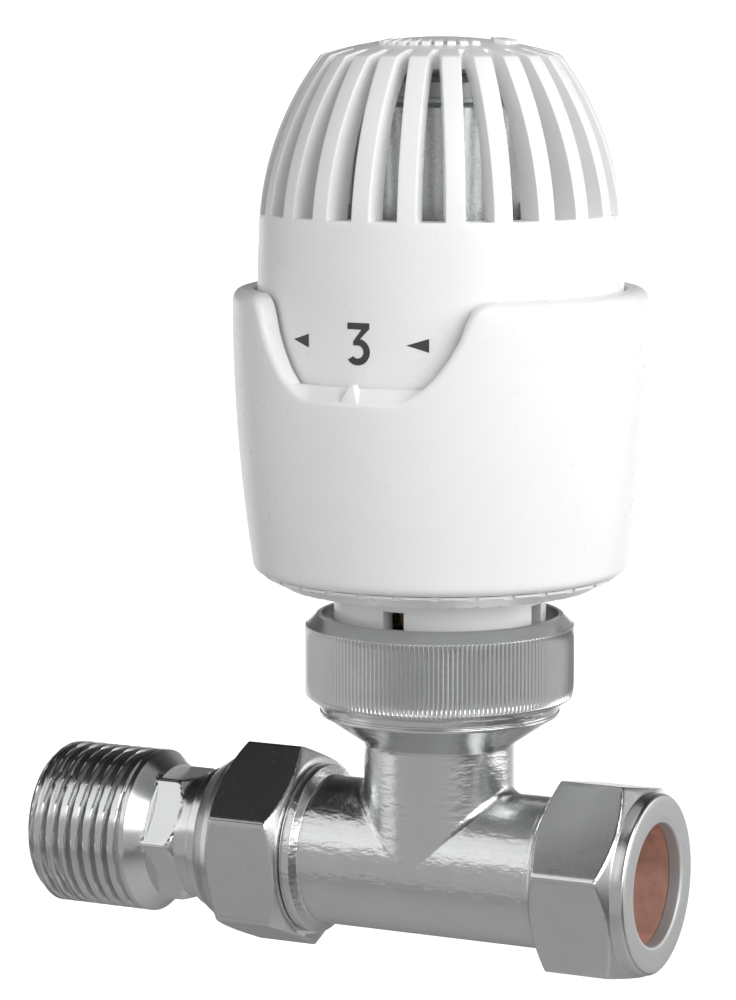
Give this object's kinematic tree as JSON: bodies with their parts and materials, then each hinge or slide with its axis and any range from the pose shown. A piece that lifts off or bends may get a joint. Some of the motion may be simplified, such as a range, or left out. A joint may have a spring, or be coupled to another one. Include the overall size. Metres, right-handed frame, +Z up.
{
  "type": "thermostatic radiator valve",
  "caption": "Straight thermostatic radiator valve: white ribbed knob in a windowed skirt, knurled head nut, plated tee body, union tail and compression nut.",
  "frame": {"origin": "on the run axis, at the first full crest of the radiator tail thread", "axes": "+X along the run from the radiator tail to the pipe socket, +Z up the head axis, -Y towards the dial window and pointer"},
  "size_m": [0.084, 0.051, 0.1161],
  "materials": {
    "nickel_plate": "satin nickel-chrome plate over brass, fine drawn and tumbled marks",
    "brass": "turned brass",
    "copper": "soft copper, dull, slightly oxidised",
    "white_abs": "white ABS, soft gloss",
    "natural_acetal": "off-white acetal, moulded",
    "dark_plastic": "dark glass-filled nylon",
    "seal_rubber": "black EPDM",
    "fibre_seal": "dark fibre gasket",
    "spring_steel": "drawn spring wire",
    "stainless": "ground stainless",
    "sensor_can": "drawn can, mottled",
    "bellows_metal": "thin formed tombac"
  },
  "bodies": {
    "valve": {"valve_body": "nickel_plate", "insert_housing": "brass", "insert_oring": "seal_rubber", "gland_nut": "brass", "gland_seal": "seal_rubber", "return_spring": "spring_steel", "tailpiece": "nickel_plate", "union_ring": "spring_steel", "union_seal": "fibre_seal", "olive": "copper", "head_base": "white_abs", "skirt": "white_abs", "base_ring": "white_abs", "knob_retainer": "dark_plastic"},
    "knob": {"knob": "white_abs", "drive_sleeve": "natural_acetal"},
    "head_nut": {"head_nut": "nickel_plate", "nut_retaining_ring": "spring_steel"},
    "carrier": {"sensor_carrier": "natural_acetal", "sensor_capsule": "sensor_can", "sensor_cap": "dark_plastic", "sensor_bellows": "bellows_metal"},
    "piston": {"sensor_piston": "stainless", "spring_cup": "dark_plastic", "overtravel_spring": "spring_steel"},
    "pin": {"push_button": "natural_acetal", "valve_pin": "stainless", "pin_collar": "spring_steel", "plunger": "brass", "seat_washer": "seal_rubber", "washer_nut": "brass"},
    "union_nut": {"union_nut": "nickel_plate"},
    "compression_nut": {"compression_nut": "nickel_plate"}
  },
  "joints": [
    {"name": "knob_turn", "type": "hinge", "parent": "valve", "child": "knob", "pos_m": [0.0536, 0, 0.0732], "axis": [0, 0, 1], "range_deg": [-122.1, 81.4]},
    {"name": "sensor_lift", "type": "slide", "parent": "valve", "child": "carrier", "axis": [0, 0, 1], "range_m": [-0.00137, 0.00092]},
    {"name": "thermal_stroke", "type": "slide", "parent": "carrier", "child": "piston", "axis": [0, 0, 1], "range_m": [-0.0007, 0.0006], "stiffness_N_per_m": 1000, "springref_m": 0.0002, "deforming": ["sensor_bellows", "return_spring"]},
    {"name": "overtravel", "type": "slide", "parent": "piston", "child": "pin", "axis": [0, 0, 1], "range_m": [0, 0.001], "stiffness_N_per_m": 1000, "springref_m": -0.001, "deforming": ["overtravel_spring"]},
    {"name": "head_nut_spin", "type": "hinge", "parent": "valve", "child": "head_nut", "pos_m": [0.0536, 0, 0.0262], "axis": [0, 0, 1], "continuous": true},
    {"name": "union_nut_spin", "type": "hinge", "parent": "valve", "child": "union_nut", "pos_m": [0.0314, 0, 0], "axis": [-1, 0, 0], "continuous": true},
    {"name": "compression_nut_spin", "type": "hinge", "parent": "valve", "child": "compression_nut", "pos_m": [0.0761, 0, 0], "axis": [1, 0, 0], "continuous": true}
  ],
  "couplings": [
    {"joint": "sensor_lift", "follows": "knob_turn", "m_per_rad": 0.00063662}
  ]
}
